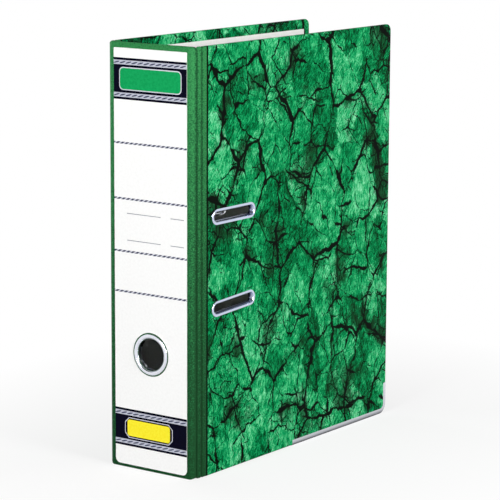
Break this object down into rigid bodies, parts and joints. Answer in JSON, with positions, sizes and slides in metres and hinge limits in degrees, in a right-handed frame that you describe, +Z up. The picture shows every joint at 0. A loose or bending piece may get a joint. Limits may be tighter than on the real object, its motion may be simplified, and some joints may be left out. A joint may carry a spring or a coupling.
{
  "type": "lever arch file",
  "caption": "Upright board file with folding covers, cloth spine, finger ring and slotted front cover, holding a lever-operated arch mechanism with a compressor bar.",
  "frame": {"origin": "middle of the footprint, on the surface that the file stands on", "axes": "+Z up along the spine, spine faces -X, front cover faces -Y, back cover faces +Y"},
  "size_m": [0.2836, 0.0916, 0.35],
  "materials": {
    "board": "grey board, raw",
    "cloth": "green book cloth",
    "marbled_paper": "emerald marbled paper with dark crackle, semi-gloss",
    "lining_paper": "white, matt",
    "label_paper": "white, satin, printed",
    "nickel": "bright nickel plate",
    "nylon": "black nylon"
  },
  "bodies": {
    "spine": {"spine_board": "board", "spine_cloth": "cloth", "spine_lining": "lining_paper", "spine_label": "label_paper", "finger_ring": "nickel", "finger_ring_washer": "nickel"},
    "front_rib": {"front_rib_board": "board", "front_rib_cloth": "cloth"},
    "front_cover": {"front_board": "board", "front_cover_paper": "marbled_paper", "front_hinge_cloth": "cloth", "front_lining": "lining_paper", "upper_slot_eyelet": "nickel", "lower_slot_eyelet": "nickel", "front_edge_shoe": "nickel"},
    "back_rib": {"back_rib_board": "board", "back_rib_cloth": "cloth"},
    "back_cover": {"back_board": "board", "back_cover_paper": "marbled_paper", "back_hinge_cloth": "cloth", "back_lining": "lining_paper", "back_edge_shoe": "nickel", "base_plate": "nickel", "upper_post": "nickel", "lower_post": "nickel", "lever_pin": "nickel", "mounting_rivets": "nickel"},
    "arches": {"arch_wire": "nickel"},
    "lever": {"lever": "nickel", "roller_pin": "nickel"},
    "roller": {"lever_roller": "nylon"},
    "compressor": {"compressor_bar": "nickel"},
    "catch": {"compressor_catch": "nickel"}
  },
  "joints": [
    {"name": "front_rib_fold", "type": "hinge", "parent": "spine", "child": "front_rib", "pos_m": [-0.13715, -0.04406, 0.175], "axis": [0, 0, -1], "range_deg": [0, 90]},
    {"name": "front_cover_fold", "type": "hinge", "parent": "front_rib", "child": "front_cover", "pos_m": [-0.13165, -0.045, 0.175], "axis": [0, 0, -1], "range_deg": [0, 90]},
    {"name": "back_rib_fold", "type": "hinge", "parent": "spine", "child": "back_rib", "pos_m": [-0.13715, 0.04406, 0.175], "axis": [0, 0, 1], "range_deg": [0, 90]},
    {"name": "back_cover_fold", "type": "hinge", "parent": "back_rib", "child": "back_cover", "pos_m": [-0.13165, 0.045, 0.175], "axis": [0, 0, 1], "range_deg": [0, 90]},
    {"name": "lever_swing", "type": "hinge", "parent": "back_cover", "child": "lever", "pos_m": [-0.08265, 0.025, 0.175], "axis": [0, 0, 1], "range_deg": [0, 85]},
    {"name": "arch_swing", "type": "hinge", "parent": "back_cover", "child": "arches", "pos_m": [-0.10465, 0.035, 0.175], "axis": [0, 0, -1], "range_deg": [0, 34]},
    {"name": "roller_spin", "type": "hinge", "parent": "lever", "child": "roller", "pos_m": [-0.08954, 0.03078, 0.175], "axis": [0, 0, 1], "continuous": true},
    {"name": "compressor_slide", "type": "slide", "parent": "back_cover", "child": "compressor", "axis": [0, -1, 0], "range_m": [0, 0.04]},
    {"name": "catch_flip", "type": "hinge", "parent": "compressor", "child": "catch", "pos_m": [-0.06025, 0.0356, 0.175], "axis": [0, 0, 1], "range_deg": [0, 80]}
  ],
  "couplings": [
    {"joint": "front_rib_fold", "follows": "front_cover_fold", "ratio": 1},
    {"joint": "back_rib_fold", "follows": "back_cover_fold", "ratio": 1},
    {"joint": "arch_swing", "follows": "lever_swing", "ratio": 0.4}
  ]
}
